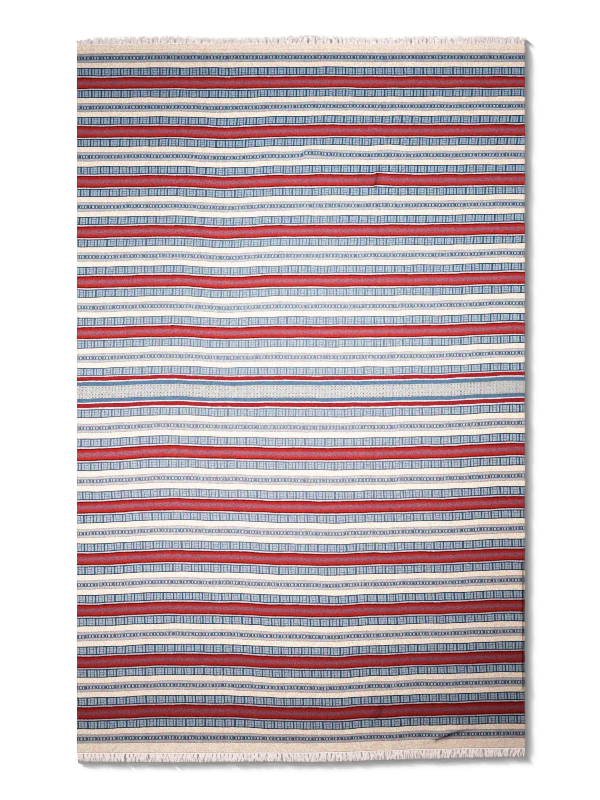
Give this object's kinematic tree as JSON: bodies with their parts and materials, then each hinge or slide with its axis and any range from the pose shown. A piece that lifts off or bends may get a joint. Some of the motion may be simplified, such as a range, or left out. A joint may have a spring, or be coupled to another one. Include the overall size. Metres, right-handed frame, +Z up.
{
  "type": "kilim rug",
  "caption": "Flat-woven cotton kilim lying flat, with banded wefts, two soft storage creases along it and a knotted fringe at each end.",
  "frame": {"origin": "on the floor, under the middle of the rug's bounding box with both fringes", "axes": "+X from the left selvedge to the right one seen from above, +Y along the warps towards the head end, +Z up from the floor"},
  "size_m": [1.524, 2.4686, 0.0065],
  "materials": {
    "woven_cotton": "weft-faced ribbed cotton, matt, in bands of madder red, mauve, indigo checks, cream and peach",
    "fringe_cotton": "undyed twisted cotton warp ends, knotted, matt"
  },
  "bodies": {
    "root": {"cloth": "woven_cotton", "fringe_head": "fringe_cotton", "fringe_foot": "fringe_cotton"}
  },
  "joints": []
}
